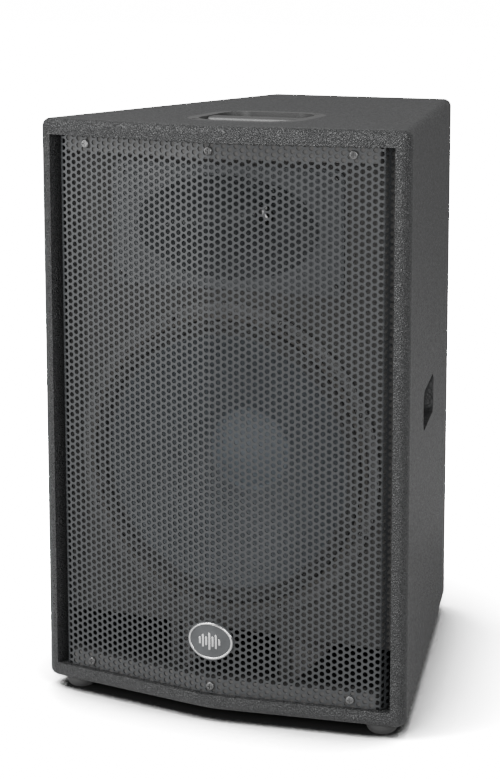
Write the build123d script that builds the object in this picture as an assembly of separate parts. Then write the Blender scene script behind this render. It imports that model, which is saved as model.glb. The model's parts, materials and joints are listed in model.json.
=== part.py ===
from build123d import *
from math import atan2, cos, radians, sin, tan
import os

# A two-way passive loudspeaker cabinet. Millimetres, +Z up, the front faces -Y.
# Places are worked out with Y = 0 at the front corners and Z = 0 at the floor, and export
# moves everything back so that the origin is the middle of the footprint.

# Cabinet
cabinet_height = 700.0
front_width = 476.0
back_width = 260.0
cabinet_depth = 490.0
bow = 32.0
board = 19.0
ridge_radius = 150.0
edge_round = 15.0
back_round = 9.0
lip_round = 10.0
foot_height = 14.0

# Baffle, port and wooden inner parts
baffle_setback = 30.0
port_height = 64.0
port_depth = 185.0
divider_thickness = 12.0
divider_place = 72.0
rail_height = 19.0
rail_depth = 18.0
rail_half_length = 200.0
brace_width = 60.0
brace_height = 440.0

# Grille and badge
grille_setback = 6.0
grille_sheet = 1.5
grille_gap = 1.0
grille_bend = 205.0
grille_return = 13.0
return_angle = 57.0
grille_screw_place = 170.0
badge_width = 59.0
badge_height = 47.0
badge_thickness = 2.0
badge_rim = 2.2
badge_rim_height = 0.8
badge_place = 85.0

# Woofer: distances along its axis are counted from the baffle's front face, backwards
woofer_height = 292.0
frame_radius = 194.0
flange_thickness = 5.0
woofer_bolts = 8
cone_lap = 6.0
cone_thickness = 1.2
cone_front = -4.7
cone_back = 80.0
surround_thickness = 0.8
roll_height = 6.5
gasket_thickness = 3.0
dust_cap_radius = 52.0
dust_cap_rise = 15.0
coil_radius = 38.0
former_wall = 0.3
former_end = 118.0
winding_wall = 1.0
winding_length = 14.0
gap_clearance = 0.8
glue_gap = 0.1
spider_place = 84.0
spider_outer = 76.0
basket_depth = 101.0
basket_wall = 3.0
basket_back_radius = 105.0
top_plate_thickness = 8.0
top_plate_radius = 85.0
magnet_radius = 92.0
magnet_thickness = 22.0
magnet_bore = 48.0
back_plate_thickness = 8.0
vent_radius = 10.0

# Horn and compression driver: distances as for the woofer, on the horn's axis
horn_height = 576.0
horn_flange_width = 296.0
horn_flange_height = 148.0
horn_flange_thickness = 4.0
mouth_half_width = 117.5
mouth_half_height = 62.5
waist_half_width = 72.0
waist_half_height = 38.0
waist_depth = 55.0
throat_radius = 12.7
throat_depth = 112.0
horn_wall = 4.0
throat_flange_radius = 44.0
throat_flange_thickness = 8.0
driver_radius = 62.0
driver_plate = 8.0
driver_magnet_thickness = 18.0
dome_radius = 22.2
dome_rise = 8.0
dome_wall = 0.3
clamp_ring_thickness = 3.0
cover_depth = 26.0
cover_wall = 3.0

# Back panel: terminals and crossover
dish_width = 160.0
dish_height = 110.0
dish_flange = 3.0
dish_rim = 12.0
dish_depth = 32.0
dish_wall = 3.0
dish_place = 150.0
socket_spacing = 36.0
socket_radius = 12.0
jack_bore = 3.25
jack_barrel = 4.7
jack_length = 24.0
board_width = 150.0
board_tall = 110.0
board_sheet = 1.6
board_place = 320.0
standoff_length = 10.0

# Hand holds
pocket_start = 166.0
pocket_length = 125.0
pocket_height = 50.0
pocket_place = 341.0
pocket_depth = 42.0
pocket_rise = 22.0
pocket_round = 14.0
cup_wall = 3.0
cup_flange = 16.0
top_opening_width = 122.0
top_opening_depth = 126.0
top_opening_place = 120.0
top_opening_round = 34.0
top_flange = 14.0
top_flange_thickness = 5.0
handle_screw_head = 4.0
handle_screw_sink = 3.0
top_dish_depth = 40.0
grip_width = 26.0
grip_thickness = 14.0

# Pole socket, feet, lining
pole_bore = 17.75
pole_wall = 1.6
pole_depth = 85.0
pole_flange = 50.0
pole_place = 268.0
foot_radius = 19.0
foot_flat = 14.0
front_foot_x = 200.0
front_foot_y = 26.0
back_foot_x = 104.0
back_foot_inset = 36.0
lining_thickness = 25.0

# Screws: head radius, head height, shank radius, shank length
grille_screw = (5.2, 2.8, 2.0, 16.0)
woofer_bolt = (4.6, 3.4, 2.5, 30.0)
horn_screw = (4.4, 2.6, 2.2, 20.0)
driver_bolt = (4.4, 4.0, 2.5, 14.0)
dish_screw = (3.8, 2.2, 1.8, 15.0)
board_screw = (2.8, 2.0, 1.5, 20.0)
handle_screw = (handle_screw_head, 2.4, 2.0, 13.0)
pole_screw = (4.4, 2.6, 2.2, 15.0)

# Smaller parts of the woofer, driver, connectors and lining
rib_front = 16.0
rib_back = 16.0
window_share = 0.66
tee_nut_flange = 9.0
tee_nut_barrel = 3.4
tee_nut_bore = 2.6
clamp_ring_radius = 48.0
fin_thickness = 1.2
socket_height = 15.0
jack_height = -24.0
inductor_sizes = ((22.0, 10.0, 22.0), (15.0, 7.0, 16.0))
capacitor_radius = 9.0
capacitor_length = 38.0
resistor_length = 42.0
resistor_side = 9.0
lead_bend = 30.0
woofer_lead_radius = 2.5
driver_lead_radius = 2.0
side_lining_low = 480.0
back_lining_low = 420.0
lining_high = 650.0

# Worked-out values
seat_radius = frame_radius - 16
bolt_circle = frame_radius - 7
cone_radius = frame_radius - 34
surround_outer = frame_radius - 15
brace_place = cabinet_depth * 0.53
taper = atan2((front_width - back_width) / 2, cabinet_depth)
bow_slope = bow / (front_width / 2)
bow_angle = atan2(bow, front_width / 2)
underside = foot_height
inner_floor = foot_height + board
inner_ceiling = foot_height + cabinet_height - board
top_face = foot_height + cabinet_height
baffle_back = baffle_setback + board
back_inside = cabinet_depth - board
slot_top = inner_floor + port_height
port_end = baffle_back + port_depth
woofer_z = underside + woofer_height
horn_z = underside + horn_height
front_most = -bow + ridge_radius * (1 / cos(bow_angle) - 1)
middle_y = (front_most + cabinet_depth + dish_flange) / 2
screw_slack = 0.1


def outer_x(y):
    return front_width / 2 - y * tan(taper)


def inner_x(y):
    return outer_x(y) - board / cos(taper)


def front_y(x, setback):
    return -bow + abs(x) * bow_slope + setback


def prism(points, low, high):
    """An upright prism on a plan outline."""
    return Pos(0, 0, low) * extrude(make_face(Polyline(*points, close=True)), high - low)


def block(low, high):
    """An upright box between two corners."""
    size = [b - a for a, b in zip(low, high)]
    middle = [(a + b) / 2 for a, b in zip(low, high)]
    return Pos(*middle) * Box(*size)


def rounded(face, point, radius):
    """A plan face with the corner nearest to a point rounded."""
    corner = face.vertices().sort_by_distance(point)[0]
    return fillet(corner, radius)


def lathe_y(points, place=(0, 0, 0)):
    """A turned piece on an axis along Y from (radius, distance) points."""
    return Pos(*place) * revolve(make_face(Polyline(*points, close=True)), Axis.Y)


def lathe_z(points, place=(0, 0, 0)):
    """A turned piece on an upright axis from (radius, height) points."""
    profile = Plane.XZ * make_face(Polyline(*points, close=True))
    return Pos(*place) * revolve(profile, Axis.Z)


def tube_y(outer, inner, start, end, place):
    """A ring or tube on an axis along Y."""
    return lathe_y([(inner, start), (outer, start), (outer, end), (inner, end)], place)


def facing(point, outward):
    """The place of something that stands on a surface at a point."""
    return Plane(origin=point, z_dir=outward).location


def upright(point, outward):
    """The same for a face along X, with the thing's own X kept level."""
    return Plane(origin=point, x_dir=(1, 0, 0), z_dir=outward).location


def around(count, radius, centre, turn=0.0):
    """Points on a circle that faces -Y."""
    angles = [radians(turn + 360.0 * i / count) for i in range(count)]
    return [(centre[0] + radius * cos(a), centre[1], centre[2] + radius * sin(a)) for a in angles]


def headed_screw(head_radius, head_height, shank_radius, shank_length):
    """A pan-head screw with a cross recess, its head above Z = 0."""
    head = extrude(Circle(head_radius), head_height)
    head = fillet(head.edges().group_by(Axis.Z)[-1], head_height * 0.6)
    shank = Pos(0, 0, -shank_length) * extrude(Circle(shank_radius), shank_length)
    slot = Box(head_radius * 1.1, head_radius * 0.24, head_height)
    cross = Pos(0, 0, head_height) * (slot + Rot(0, 0, 90) * slot)
    return head + shank - cross


def screw_hole(shank_radius, length, lead=5.0):
    """What a screw's shank takes out of the pieces that it passes through."""
    return Pos(0, 0, -length) * extrude(Circle(shank_radius + screw_slack), length + lead)


def group(pieces):
    """Several separate solids in one node."""
    return Compound([solid for piece in pieces for solid in piece.solids()])


def front_line(setback, half_length):
    """The bowed front line, set back, from left to right."""
    end = front_y(half_length, setback)
    return [(-half_length, end), (0, front_y(0, setback)), (half_length, end)]


def bowed_strip(setback, depth, half_length, low, high):
    """A piece that follows the bowed front between two set-backs."""
    near = front_line(setback, half_length)
    far = front_line(setback + depth, half_length)
    face = make_face(Polyline(*near, *reversed(far), close=True))
    face = rounded(face, near[1] + (0,), ridge_radius - setback * cos(bow_angle))
    face = rounded(face, far[1] + (0,), ridge_radius - (setback + depth) * cos(bow_angle))
    return Pos(0, 0, low) * extrude(face, high - low)


def cap_panel():
    """The outline that the top and the bottom share, one board thick, from Z = 0."""
    corners = [
        (-front_width / 2, 0),
        (0, -bow),
        (front_width / 2, 0),
        (back_width / 2, cabinet_depth),
        (-back_width / 2, cabinet_depth),
    ]
    face = make_face(Polyline(*corners, close=True))
    radii = [edge_round, ridge_radius, edge_round, back_round, back_round]
    for corner, radius in zip(corners, radii):
        face = rounded(face, corner + (0,), radius)
    return extrude(face, board)


def side_panel():
    """The right side, with its front edge rounded and the hand hold cut through."""
    slope = tan(taper)
    front_inner = (front_width / 2 + bow * slope - board / cos(taper)) / (1 + bow_slope * slope)
    corners = [
        (front_width / 2, 0),
        (back_width / 2, cabinet_depth),
        (inner_x(cabinet_depth), cabinet_depth),
        (front_inner, front_y(front_inner, 0)),
    ]
    face = make_face(Polyline(*corners, close=True))
    face = rounded(face, corners[0] + (0,), edge_round)
    face = rounded(face, corners[1] + (0,), back_round)
    panel = Pos(0, 0, inner_floor) * extrude(face, inner_ceiling - inner_floor)
    hole = extrude(RectangleRounded(pocket_length, pocket_height, pocket_round), board, both=True)
    return panel - wall_place(0) * hole - side_cup_screws(screw_hole(2.0, 14.0))


def wall_place(inward):
    """The middle of the right hand hold, some way in from the side's outer face."""
    along = pocket_start + pocket_length / 2
    x = front_width / 2 - along * sin(taper) - inward * cos(taper)
    y = along * cos(taper) - inward * sin(taper)
    outward = (cos(taper), sin(taper), 0)
    rearward = (-sin(taper), cos(taper), 0)
    return Plane((x, y, underside + pocket_place), x_dir=rearward, z_dir=outward).location


def side_cup_screws(piece):
    """Copies of a screw at the four corners of the right hand hold's flange."""
    x = pocket_length / 2 + cup_flange / 2 + cup_wall / 2
    low = -pocket_height / 2 - cup_flange / 2 - cup_wall / 2
    high = pocket_height / 2 + pocket_rise + cup_flange / 2 + cup_wall / 2
    turned_over = wall_place(board + cup_wall) * Rot(180, 0, 0)
    places = [(x, -low), (-x, -low), (x, -high), (-x, -high)]
    return group([turned_over * Pos(px, py, 0) * piece for px, py in places])


def side_cup():
    """The moulded cup behind the right hand hold: its finger space rises behind the side."""
    tall = pocket_height + pocket_rise
    outline = (pocket_length + 2 * cup_wall, tall + 2 * cup_wall)
    flange = Rectangle(outline[0] + 2 * cup_flange, outline[1] + 2 * cup_flange)
    flange = fillet(flange.vertices(), cup_flange)
    shell = extrude(flange, -cup_wall)
    shell += extrude(RectangleRounded(*outline, pocket_round), -(pocket_depth + cup_wall))
    inside = extrude(RectangleRounded(pocket_length, tall, pocket_round - cup_wall), -pocket_depth)
    inside = fillet(inside.faces().sort_by(Axis.Z)[0].edges(), pocket_round / 2)
    cup = wall_place(board) * Pos(0, pocket_rise / 2, 0) * (shell - inside)
    return cup - side_cup_screws(screw_hole(2.0, 14.0))


def top_opening(extra, low, high):
    """An upright rounded block on the top hand hold's outline."""
    width = top_opening_width + 2 * extra
    depth = top_opening_depth + 2 * extra
    outline = RectangleRounded(width, depth, top_opening_round + extra)
    return Pos(0, top_opening_place, low) * extrude(outline, high - low)


def top_handle_screws(piece):
    """Copies of a screw on the flange of the top hand hold."""
    x = top_opening_width / 2 - top_opening_round * 0.3 + top_flange * 0.35
    y = top_opening_depth / 2 - top_opening_round * 0.3 + top_flange * 0.35
    height = top_face - handle_screw_sink
    places = [(sx * x, top_opening_place + sy * y) for sx in (-1, 1) for sy in (-1, 1)]
    return group([Pos(px, py, height) * piece for px, py in places])


def top_panel():
    panel = Pos(0, 0, inner_ceiling) * cap_panel()
    panel = fillet(panel.edges().group_by(Axis.Z)[-1], lip_round)
    panel -= top_opening(cup_wall + screw_slack, inner_ceiling - 1, top_face + 1)
    panel -= top_opening(top_flange + screw_slack, top_face - top_flange_thickness, top_face + 1)
    return panel - top_handle_screws(screw_hole(2.0, 14.0))


def top_handle():
    """A moulded dish let into the top, with a grip across it."""
    floor = top_face - top_dish_depth
    dish = top_opening(top_flange, top_face - top_flange_thickness, top_face)
    dish += top_opening(cup_wall, floor - cup_wall, top_face)
    inside = top_opening(0, floor, top_face + 1)
    inside = fillet(inside.faces().sort_by(Axis.Z)[0].edges(), pocket_round)
    dish -= inside
    reach = top_opening_width / 2 + cup_wall / 2
    grip = block((-reach, -grip_width / 2, -grip_thickness), (reach, grip_width / 2, 0))
    grip = fillet(grip.edges().filter_by(Axis.X), grip_thickness * 0.45)
    dish += Pos(0, top_opening_place, top_face - 1) * grip
    dish -= top_handle_screws(extrude(Circle(handle_screw_head + 0.5), handle_screw_sink + 1))
    return dish - top_handle_screws(screw_hole(2.0, 14.0))


def bottom_panel():
    panel = Pos(0, 0, underside) * cap_panel()
    panel = fillet(panel.edges().group_by(Axis.Z)[0], lip_round)
    panel -= pole_socket_bore(pole_bore + pole_wall + screw_slack, board + 2)
    panel -= pole_screws(screw_hole(2.2, 15.0))
    return panel - foot_places(Rot(180, 0, 0) * screw_hole(2.2, 14.0))


def back_panel():
    corners = [
        (-inner_x(back_inside), back_inside),
        (inner_x(back_inside), back_inside),
        (inner_x(cabinet_depth), cabinet_depth),
        (-inner_x(cabinet_depth), cabinet_depth),
    ]
    panel = prism(corners, inner_floor, inner_ceiling)
    panel -= dish_box(-dish_rim + screw_slack, back_inside - 1, cabinet_depth + 1)
    panel -= dish_screws(screw_hole(1.8, 15.0))
    return panel - board_screws(screw_hole(1.5, 10.0 + board_sheet + standoff_length))


def front_baffle():
    corners = [
        (-inner_x(baffle_setback), baffle_setback),
        (inner_x(baffle_setback), baffle_setback),
        (inner_x(baffle_back), baffle_back),
        (-inner_x(baffle_back), baffle_back),
    ]
    panel = prism(corners, slot_top, inner_ceiling)
    woofer_hole = tube_y(seat_radius + 1.5, 0, -1, board + 1, (0, baffle_setback, woofer_z))
    edge = horn_wall + 1.5
    ring = Ellipse(mouth_half_width + edge, mouth_half_height + edge)
    horn_hole = extrude(horn_plane(0) * ring, board + 1, both=True)
    panel = panel - woofer_hole - horn_hole
    panel -= woofer_bolt_places(screw_hole(3.4, board + flange_thickness + 1))
    return panel - horn_screw_places(screw_hole(2.2, 20.0))


def port_shelf():
    corners = [
        (-inner_x(baffle_back), baffle_back),
        (inner_x(baffle_back), baffle_back),
        (inner_x(port_end), port_end),
        (-inner_x(port_end), port_end),
    ]
    return prism(corners, slot_top, slot_top + board)


def port_divider(side):
    x = side * divider_place
    half = divider_thickness / 2
    return block((x - half, baffle_setback, inner_floor), (x + half, port_end, slot_top))


def grille_rail(low):
    """A wooden strip behind the grille's top or bottom edge, drilled for the screws."""
    setback = grille_setback + grille_sheet / cos(bow_angle)
    rail = bowed_strip(setback, rail_depth, rail_half_length, low, low + rail_height)
    return rail - grille_screw_places(screw_hole(2.0, 17.0))


def cross_brace():
    near = brace_place - brace_width / 2
    far = brace_place + brace_width / 2
    corners = [(-inner_x(near), near), (inner_x(near), near), (inner_x(far), far), (-inner_x(far), far)]
    low = underside + brace_height
    return prism(corners, low, low + board)


def offset_corner(point, before, after, distance):
    """A bend's point on the other face of a sheet, from the directions on its two sides."""
    first = (-sin(before), cos(before))
    second = (-sin(after), cos(after))
    scale = distance / (1 + first[0] * second[0] + first[1] * second[1])
    return (point[0] + scale * (first[0] + second[0]), point[1] + scale * (first[1] + second[1]))


def grille():
    """The bowed sheet with its ends bent back; its holes are not modelled here."""
    ridge = (0, front_y(0, grille_setback))
    bend = (grille_bend, front_y(grille_bend, grille_setback))
    back = radians(return_angle)
    end = (bend[0] + grille_return * cos(back), bend[1] + grille_return * sin(back))
    right_face = [bend, end]
    right_rear = [
        offset_corner(end, back, back, grille_sheet),
        offset_corner(bend, bow_angle, back, grille_sheet),
    ]
    ridge_rear = (0, ridge[1] + grille_sheet / cos(bow_angle))
    right = right_face + right_rear
    left = [(-x, y) for x, y in reversed(right)]
    outline = [ridge] + right + [ridge_rear] + left
    face = make_face(Polyline(*outline, close=True))
    face = rounded(face, ridge + (0,), ridge_radius - grille_setback * cos(bow_angle))
    rear_radius = ridge_radius - grille_setback * cos(bow_angle) - grille_sheet
    face = rounded(face, ridge_rear + (0,), rear_radius)
    low = inner_floor + grille_gap
    sheet = Pos(0, 0, low) * extrude(face, inner_ceiling - grille_gap - low)
    return sheet - grille_screw_places(screw_hole(2.0, 17.0))


def grille_screw_places(piece):
    """Copies of a screw along the grille's top and bottom edges, square to its face."""
    apex = front_y(0, grille_setback) + (ridge_radius - grille_setback) * (1 / cos(bow_angle) - 1)
    side_y = front_y(grille_screw_place, grille_setback)
    placed = []
    for height in (inner_floor + rail_height / 2, inner_ceiling - rail_height / 2):
        placed.append(facing((0, apex, height), (0, -1, 0)) * piece)
        for side in (-1, 1):
            outward = (side * sin(bow_angle), -cos(bow_angle), 0)
            placed.append(facing((side * grille_screw_place, side_y, height), outward) * piece)
    return group(placed)


def badge_layer(inset, setback, thickness):
    """An oval slice of a layer that follows the grille's ridge."""
    plane = Plane((0, baffle_setback, underside + badge_place), x_dir=(1, 0, 0), z_dir=(0, -1, 0))
    oval = extrude(plane * Ellipse(badge_width / 2 - inset, badge_height / 2 - inset), 100)
    low = underside + badge_place - badge_height
    layer = bowed_strip(setback, thickness, badge_width, low, low + 2 * badge_height)
    return oval & layer


def badge_plate():
    return badge_layer(0, grille_setback - badge_thickness, badge_thickness)


def badge_ring():
    """The thin raised border of the badge."""
    setback = grille_setback - badge_thickness - badge_rim_height
    whole = badge_layer(badge_rim, setback, badge_rim_height)
    return whole - badge_layer(2 * badge_rim, setback - 1, badge_rim_height + 2)


def woofer_place():
    return (0, baffle_setback, woofer_z)


def woofer_bolt_places(piece):
    points = around(woofer_bolts, bolt_circle, woofer_place(), 180 / woofer_bolts)
    front = [(x, y - flange_thickness, z) for x, y, z in points]
    return group([facing(point, (0, -1, 0)) * piece for point in front])


def woofer_basket():
    """Flange, legs and back ring of the woofer's frame."""
    outline = [
        (seat_radius - 4, -flange_thickness),
        (frame_radius, -flange_thickness),
        (frame_radius, 0),
        (seat_radius, 0),
        (basket_back_radius, basket_depth - 4),
        (basket_back_radius, basket_depth),
        (coil_radius + 8, basket_depth),
        (coil_radius + 8, basket_depth - basket_wall),
        (basket_back_radius - 5, basket_depth - basket_wall),
        (seat_radius - 6, 2),
    ]
    basket = lathe_y(outline)
    half = radians(180 / woofer_bolts * window_share)
    reach = frame_radius * 1.2
    corners = [(0, 0), (reach * cos(half), -reach * sin(half)), (reach * cos(half), reach * sin(half))]
    wedge = extrude(Plane.XZ * make_face(Polyline(*corners, close=True)), -(basket_depth - rib_front - rib_back))
    for i in range(woofer_bolts):
        basket -= Pos(0, rib_front, 0) * Rot(0, 360 / woofer_bolts * i, 0) * wedge
    basket = Pos(*woofer_place()) * basket
    return basket - woofer_bolt_places(screw_hole(2.8, board + flange_thickness))


def woofer_cone():
    """The paper cone with a flat lap for the surround and a neck on the coil former."""
    neck = coil_radius + former_wall
    outline = [
        (cone_radius, cone_front),
        (cone_radius, cone_front + cone_thickness),
        (cone_radius - cone_lap, cone_front + cone_thickness),
        (neck + 2, cone_back + 2 * cone_thickness),
        (neck, cone_back + 2 * cone_thickness),
        (neck, cone_back),
        (cone_radius - cone_lap, cone_front),
    ]
    return lathe_y(outline, woofer_place())


def surround_profile(lift):
    """One face of the half-roll between the cone's lap and the basket's flange."""
    seat = -flange_thickness - lift
    inner = cone_radius + 1
    outer = seat_radius - 5
    top = ((inner + outer) / 2, seat - roll_height)
    return [
        Line((cone_radius - cone_lap + 1, seat), (inner, seat)),
        ThreePointArc((inner, seat), top, (outer, seat)),
        Line((outer, seat), (surround_outer, seat)),
    ]


def woofer_surround():
    inner = cone_radius - cone_lap + 1
    low = -flange_thickness - surround_thickness
    ends = [Line((r, low), (r, -flange_thickness)) for r in (inner, surround_outer)]
    edges = surround_profile(surround_thickness) + surround_profile(0) + ends
    return Pos(*woofer_place()) * revolve(Face(Wire(edges)), Axis.Y)


def woofer_gasket():
    front = -flange_thickness - surround_thickness
    return tube_y(seat_radius + 3, seat_radius - 4, front - gasket_thickness, front, woofer_place())


def dust_cap():
    """A shallow dome glued on the cone."""
    slope = (cone_back - cone_front) / (cone_radius - cone_lap - coil_radius - former_wall)
    rim = cone_front + (cone_radius - cone_lap - dust_cap_radius) * slope
    top = rim - dust_cap_rise
    wall = cone_thickness
    outside = ThreePointArc((0, top), (dust_cap_radius * 0.55, top + dust_cap_rise * 0.29), (dust_cap_radius, rim))
    inside = ThreePointArc(
        (0, top + wall),
        (dust_cap_radius * 0.53, top + wall + dust_cap_rise * 0.29),
        (dust_cap_radius - wall, rim),
    )
    closing = [Line((0, top), (0, top + wall)), Line((dust_cap_radius, rim), (dust_cap_radius - wall, rim))]
    cap = revolve(Face(Wire([outside, inside] + closing)), Axis.Y)
    return Pos(*woofer_place()) * cap - woofer_cone()


def voice_coil_former():
    start = cone_back - 4
    return tube_y(coil_radius + former_wall, coil_radius, start, former_end, woofer_place())


def voice_coil():
    inner = coil_radius + former_wall
    middle = basket_depth + top_plate_thickness / 2
    start = middle - winding_length / 2
    return tube_y(inner + winding_wall, inner, start, start + winding_length, woofer_place())


def spider():
    """The corrugated centring ring, with four shallow waves."""
    inner = coil_radius + former_wall + glue_gap
    outer = spider_outer
    steps = 9
    wave = [
        (inner + (outer - inner) * i / (steps - 1), spider_place + (1.5 if i % 2 else -1.5))
        for i in range(steps)
    ]
    far = [(r, s + 0.8) for r, s in reversed(wave)]
    return lathe_y(wave + far, woofer_place())


def spider_seat():
    """The ring that holds the spider's outer edge in front of the basket's back."""
    low = spider_place + 2.4
    ring = [
        (spider_outer - 8, low),
        (spider_outer + 4, low),
        (spider_outer + 4, basket_depth - basket_wall),
        (spider_outer, basket_depth - basket_wall),
        (spider_outer, low + 3),
        (spider_outer - 8, low + 3),
    ]
    return lathe_y(ring, woofer_place())


def woofer_top_plate():
    bore = coil_radius + former_wall + winding_wall + gap_clearance
    start = basket_depth
    return tube_y(top_plate_radius, bore, start, start + top_plate_thickness, woofer_place())


def woofer_magnet():
    start = basket_depth + top_plate_thickness
    return tube_y(magnet_radius, magnet_bore, start, start + magnet_thickness, woofer_place())


def woofer_pole():
    """Back plate and pole in one, with a vent through it."""
    plate = basket_depth + top_plate_thickness + magnet_thickness
    end = plate + back_plate_thickness
    pole = coil_radius - gap_clearance
    outline = [
        (vent_radius, basket_depth - 2),
        (pole, basket_depth - 2),
        (pole, plate),
        (top_plate_radius, plate),
        (top_plate_radius, end),
        (vent_radius, end),
    ]
    return lathe_y(outline, woofer_place())


def woofer_terminals():
    """A block with two tabs on the basket's back ring."""
    y = baffle_setback + basket_depth
    low = woofer_z + top_plate_radius + 3
    block_part = block((-13, y, low), (13, y + 6, low + 14))
    tabs = [block((x - 3, y + 2, low + 14), (x + 3, y + 2.8, low + 24)) for x in (-8, 8)]
    return block_part + tabs


def tee_nuts():
    """Threaded inserts behind the baffle, one for each woofer bolt."""
    points = around(woofer_bolts, bolt_circle, (0, baffle_back, woofer_z), 180 / woofer_bolts)
    nut = tube_y(tee_nut_flange, tee_nut_bore, 0, 1.5, (0, 0, 0))
    nut += tube_y(tee_nut_barrel, tee_nut_bore, -10, 0, (0, 0, 0))
    return group([Pos(*point) * nut for point in points])


def horn_plane(depth):
    return Plane((0, baffle_setback + depth, horn_z), x_dir=(1, 0, 0), z_dir=(0, -1, 0))


def horn_place():
    return (0, baffle_setback, horn_z)


def flare(extra, start):
    """The horn's flare, from the mouth's oval to the round throat."""
    sections = [
        horn_plane(start) * Ellipse(mouth_half_width + extra, mouth_half_height + extra),
        horn_plane(waist_depth) * Ellipse(waist_half_width + extra, waist_half_height + extra),
        horn_plane(throat_depth) * Ellipse(throat_radius + extra, throat_radius + extra * 0.999),
    ]
    return loft(sections)


def horn():
    flange = extrude(horn_plane(0) * RectangleRounded(horn_flange_width, horn_flange_height, 12), horn_flange_thickness)
    throat = tube_y(
        throat_flange_radius,
        throat_radius,
        throat_depth - throat_flange_thickness,
        throat_depth,
        horn_place(),
    )
    body = flange + flare(horn_wall, 0) + throat
    body -= flare(0, -horn_flange_thickness)
    body -= driver_bolt_places(screw_hole(3.0, 30.0, 12.0))
    return body - horn_screw_places(screw_hole(2.4, 20.0))


def horn_screw_places(piece):
    x = horn_flange_width / 2 - 11
    z = horn_flange_height / 2 - 11
    y = baffle_setback - horn_flange_thickness
    places = [(sx * x, y, horn_z + sz * z) for sx in (-1, 1) for sz in (-1, 1)]
    return group([facing(place, (0, -1, 0)) * piece for place in places])


def driver_bolt_places(piece):
    """Copies of a bolt through the throat flange into the driver, from the front."""
    y = baffle_setback + throat_depth - throat_flange_thickness
    points = around(4, throat_flange_radius - 8, (0, y, horn_z), 45)
    return group([facing(point, (0, -1, 0)) * piece for point in points])


def driver_body():
    """Front plate and pole, with the tapered throat through both."""
    start = throat_depth
    gap_end = start + driver_plate + driver_magnet_thickness + driver_plate
    pole = dome_radius - 0.7
    outline = [
        (throat_radius, start),
        (driver_radius, start),
        (driver_radius, start + driver_plate),
        (pole, start + driver_plate),
        (pole, gap_end),
        (throat_radius + 4.5, gap_end),
    ]
    body = lathe_y(outline, horn_place())
    return body - driver_bolt_places(screw_hole(2.5, 15.0))


def phase_plug():
    """A bullet held in the throat by three thin fins."""
    end = throat_depth + 2 * driver_plate + driver_magnet_thickness - 1
    bullet = lathe_y([(0, end - 24), (throat_radius - 1, end), (0, end)])
    fin = block((0, end - 12, -fin_thickness / 2), (throat_radius + 2, end, fin_thickness / 2))
    fins = [Rot(0, 120 * i, 0) * fin for i in range(3)]
    return Pos(*horn_place()) * (bullet + fins)


def driver_magnet():
    start = throat_depth + driver_plate
    return tube_y(driver_radius, dome_radius + 10, start, start + driver_magnet_thickness, horn_place())


def driver_rear_plate():
    start = throat_depth + driver_plate + driver_magnet_thickness
    bore = dome_radius + dome_wall + 0.7
    return tube_y(driver_radius - 4, bore, start, start + driver_plate, horn_place())


def driver_diaphragm():
    """A thin dome on its voice-coil former."""
    base = throat_depth + 2 * driver_plate + driver_magnet_thickness
    rim = base + 2
    outer = dome_radius + dome_wall
    former = tube_y(outer, dome_radius, base - 7, rim, horn_place())
    rise = dome_rise
    over = ThreePointArc((0, rim + rise), (outer * 0.55, rim + rise * 0.71), (outer, rim))
    under = ThreePointArc(
        (0, rim + rise - dome_wall),
        (dome_radius * 0.55, rim + rise * 0.71 - dome_wall),
        (dome_radius, rim),
    )
    closing = [Line((0, rim + rise), (0, rim + rise - dome_wall)), Line((outer, rim), (dome_radius, rim))]
    dome = revolve(Face(Wire([over, under] + closing)), Axis.Y)
    return former + Pos(*horn_place()) * dome


def driver_suspension():
    """The flexing ring between the dome and its clamp."""
    start = throat_depth + 2 * driver_plate + driver_magnet_thickness + 1
    inner = dome_radius + dome_wall + glue_gap
    return tube_y(dome_radius + 6, inner, start, start + 0.2, horn_place())


def clamp_ring():
    start = throat_depth + 2 * driver_plate + driver_magnet_thickness
    return tube_y(clamp_ring_radius, dome_radius + 6, start, start + clamp_ring_thickness, horn_place())


def driver_cover():
    """The rear chamber's cap."""
    start = throat_depth + 2 * driver_plate + driver_magnet_thickness
    outer = driver_radius - 4
    outline = [
        (outer - cover_wall, start),
        (outer, start),
        (outer, start + cover_depth - 4),
        (outer - 4, start + cover_depth),
        (0, start + cover_depth),
        (0, start + cover_depth - cover_wall),
        (outer - cover_wall, start + cover_depth - cover_wall),
    ]
    return lathe_y(outline, horn_place())


def dish_box(extra, near, far):
    """A block on the terminal dish's outline, from one depth to another."""
    half_width = dish_width / 2 + extra
    half_height = dish_height / 2 + extra
    middle = underside + dish_place
    return block((-half_width, near, middle - half_height), (half_width, far, middle + half_height))


def dish_floor():
    """The outside of the dish's floor, where the connectors sit."""
    return cabinet_depth + dish_flange - dish_depth


def dish_screws(piece):
    """Copies of a screw around the dish's flange."""
    x = dish_width / 2 - dish_rim / 2
    z = dish_height / 2 - dish_rim / 2
    places = [(sx * x, sz * z) for sx in (-1, 0, 1) for sz in (-1, 1)]
    y = cabinet_depth + dish_flange
    middle = underside + dish_place
    return group([facing((px, y, middle + pz), (0, 1, 0)) * piece for px, pz in places])


def terminal_dish():
    flange = dish_box(0, cabinet_depth, cabinet_depth + dish_flange)
    flange = fillet(flange.edges().filter_by(Axis.Y), 8)
    body = dish_box(-dish_rim, dish_floor() - dish_wall, cabinet_depth)
    body = fillet(body.edges().filter_by(Axis.Y), 7)
    inside = dish_box(-dish_rim - dish_wall, dish_floor(), cabinet_depth + dish_flange + 1)
    inside = fillet(inside.edges().filter_by(Axis.Y), 5)
    dish = flange + body - inside
    for x, z in connector_places():
        radius = socket_radius if z > 0 else jack_barrel
        hole = Rot(90, 0, 0) * Cylinder(radius + screw_slack, 40)
        dish -= Pos(x, dish_floor(), underside + dish_place + z) * hole
    return dish - dish_screws(screw_hole(1.8, 15.0))


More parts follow.
